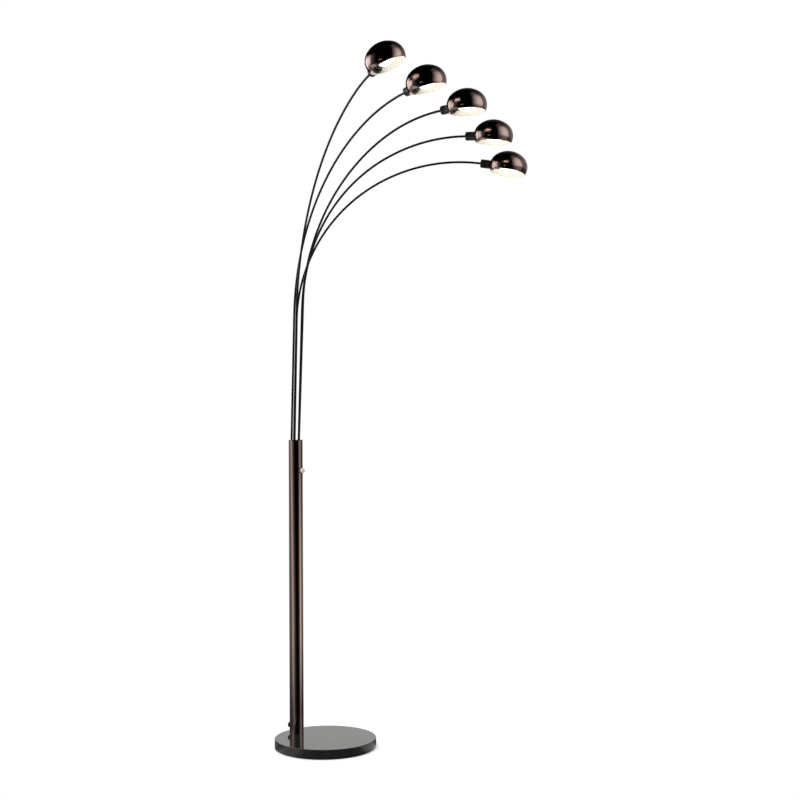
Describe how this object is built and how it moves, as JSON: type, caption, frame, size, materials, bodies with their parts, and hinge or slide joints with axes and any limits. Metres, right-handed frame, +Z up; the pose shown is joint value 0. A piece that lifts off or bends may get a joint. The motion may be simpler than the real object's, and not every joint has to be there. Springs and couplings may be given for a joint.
{
  "type": "floor_lamp",
  "caption": "Tree floor lamp: polished black stone base, dark nickel pole with a rotary switch, and bent arms that fan out to half-dome shades.",
  "frame": {"origin": "centre of the base, on the floor", "axes": "+X is the side the arms bend towards, +Z is up along the pole, +Y is left seen from the side of -X"},
  "size_m": [0.7171, 0.6667, 1.9682],
  "materials": {
    "black_stone": "polished",
    "felt": "matte",
    "zinc_steel": "bright zinc plate",
    "black_nickel": "polished dark nickel",
    "black_lacquer": "gloss black lacquer",
    "shade_enamel": "polished dark nickel outside, white enamel inside",
    "black_plastic": "moulded",
    "ivory_plastic": "glossy",
    "white_ceramic": "satin",
    "lead_sheath": "satin",
    "opal_glass": "opal, frosted"
  },
  "bodies": {
    "root": {"base_stone": "black_stone", "base_pad": "felt", "foot_plug": "zinc_steel", "foot_washer": "zinc_steel", "foot_lock_washer": "zinc_steel", "foot_nut": "zinc_steel", "pole_tube": "black_nickel", "pole_cap": "black_nickel", "cord_inlet": "black_plastic", "switch_body": "black_plastic", "switch_bezel": "black_nickel", "splice_block": "white_ceramic", "switch_lead": "lead_sheath"},
    "knob": {"switch_knob": "ivory_plastic"},
    "arm_1": {"arm_tube_1": "black_lacquer", "arm_nut_1": "zinc_steel", "arm_lead_1": "lead_sheath", "socket_cup_1": "black_plastic", "lampholder_1": "black_plastic", "shade_ring_1": "black_plastic", "bulb_1": "opal_glass"},
    "shade_body_1": {"shade_1": "shade_enamel"},
    "arm_2": {"arm_tube_2": "black_lacquer", "arm_nut_2": "zinc_steel", "arm_lead_2": "lead_sheath", "socket_cup_2": "black_plastic", "lampholder_2": "black_plastic", "shade_ring_2": "black_plastic", "bulb_2": "opal_glass"},
    "shade_body_2": {"shade_2": "shade_enamel"},
    "arm_3": {"arm_tube_3": "black_lacquer", "arm_nut_3": "zinc_steel", "arm_lead_3": "lead_sheath", "socket_cup_3": "black_plastic", "lampholder_3": "black_plastic", "shade_ring_3": "black_plastic", "bulb_3": "opal_glass"},
    "shade_body_3": {"shade_3": "shade_enamel"},
    "arm_4": {"arm_tube_4": "black_lacquer", "arm_nut_4": "zinc_steel", "arm_lead_4": "lead_sheath", "socket_cup_4": "black_plastic", "lampholder_4": "black_plastic", "shade_ring_4": "black_plastic", "bulb_4": "opal_glass"},
    "shade_body_4": {"shade_4": "shade_enamel"},
    "arm_5": {"arm_tube_5": "black_lacquer", "arm_nut_5": "zinc_steel", "arm_lead_5": "lead_sheath", "socket_cup_5": "black_plastic", "lampholder_5": "black_plastic", "shade_ring_5": "black_plastic", "bulb_5": "opal_glass"},
    "shade_body_5": {"shade_5": "shade_enamel"}
  },
  "joints": [
    {"name": "arm_1_swivel", "type": "hinge", "parent": "root", "child": "arm_1", "pos_m": [-0.10756, -0.01151, 0.908], "axis": [0, 0, 1], "range_deg": [-30, 4]},
    {"name": "shade_1_turn", "type": "hinge", "parent": "arm_1", "child": "shade_body_1", "pos_m": [0.42543, -0.26459, 1.92107], "axis": [0.8769, -0.4164, 0.2402], "range_deg": [-60, 60]},
    {"name": "arm_2_swivel", "type": "hinge", "parent": "root", "child": "arm_2", "pos_m": [-0.12109, -0.00711, 0.908], "axis": [0, 0, 1], "range_deg": [-4, 4]},
    {"name": "shade_2_turn", "type": "hinge", "parent": "arm_2", "child": "shade_body_2", "pos_m": [0.47133, -0.1428, 1.87684], "axis": [0.9625, -0.2204, 0.1582], "range_deg": [-60, 60]},
    {"name": "arm_3_swivel", "type": "hinge", "parent": "root", "child": "arm_3", "pos_m": [-0.0992, 0, 0.908], "axis": [0, 0, 1], "range_deg": [-4, 5]},
    {"name": "shade_3_turn", "type": "hinge", "parent": "arm_3", "child": "shade_body_3", "pos_m": [0.51163, -0.0064, 1.83332], "axis": [0.9986, -0.0105, 0.0523], "range_deg": [-60, 60]},
    {"name": "arm_4_swivel", "type": "hinge", "parent": "root", "child": "arm_4", "pos_m": [-0.10756, 0.01151, 0.908], "axis": [0, 0, 1], "range_deg": [-5, 3]},
    {"name": "shade_4_turn", "type": "hinge", "parent": "arm_4", "child": "shade_body_4", "pos_m": [0.50768, 0.13668, 1.7713], "axis": [0.9779, 0.199, -0.0645], "range_deg": [-60, 60]},
    {"name": "arm_5_swivel", "type": "hinge", "parent": "root", "child": "arm_5", "pos_m": [-0.12109, 0.00711, 0.908], "axis": [0, 0, 1], "range_deg": [-2, 30]},
    {"name": "shade_5_turn", "type": "hinge", "parent": "arm_5", "child": "shade_body_5", "pos_m": [0.46211, 0.29156, 1.70905], "axis": [0.8887, 0.4334, -0.1495], "range_deg": [-60, 60]},
    {"name": "switch_turn", "type": "hinge", "parent": "root", "child": "knob", "pos_m": [-0.0901, 0, 0.816], "axis": [1, 0, 0], "continuous": true}
  ]
}
